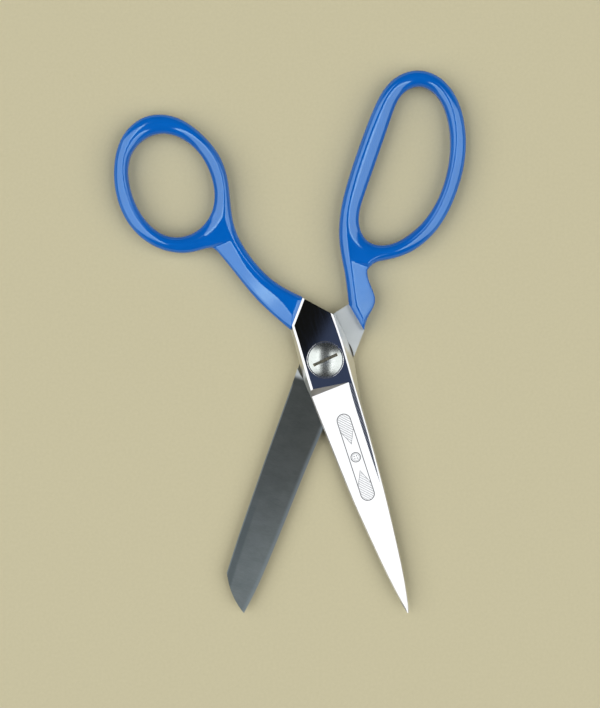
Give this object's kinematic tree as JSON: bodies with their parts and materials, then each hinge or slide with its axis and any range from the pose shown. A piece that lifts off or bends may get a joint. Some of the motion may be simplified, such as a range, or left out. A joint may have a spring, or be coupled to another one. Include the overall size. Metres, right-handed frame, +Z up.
{
  "type": "fabric shears",
  "caption": "Left-handed bent fabric shears, half open: a pointed blade over a wide clipped blade, coated round and long finger rings, slotted pivot screw.",
  "frame": {"origin": "on the pivot axis, at the flat surface that the shears lie on", "axes": "+Z up towards the screw head, +Y from the pivot towards the finger rings, blades towards -Y, +X completes a right-handed frame"},
  "size_m": [0.1268, 0.1955, 0.0108],
  "materials": {
    "blade_steel": "polished outer faces, ground inner faces",
    "handle_coating": "glossy",
    "screw_steel": "polished"
  },
  "bodies": {
    "lower_half": {"lower_blade": "blade_steel", "finger_handle_coating": "handle_coating", "lock_nut": "screw_steel"},
    "upper_half": {"upper_blade": "blade_steel", "thumb_handle_coating": "handle_coating"},
    "screw": {"pivot_screw": "screw_steel", "spring_washer": "screw_steel"}
  },
  "joints": [
    {"name": "blade_pivot", "type": "hinge", "parent": "lower_half", "child": "upper_half", "pos_m": [0, 0, 0.0042], "axis": [0, 0, 1], "range_deg": [-36, 80]},
    {"name": "tension_screw", "type": "hinge", "parent": "lower_half", "child": "screw", "pos_m": [0, 0, 0.0042], "axis": [0, 0, 1], "range_deg": [-45, 45]}
  ]
}
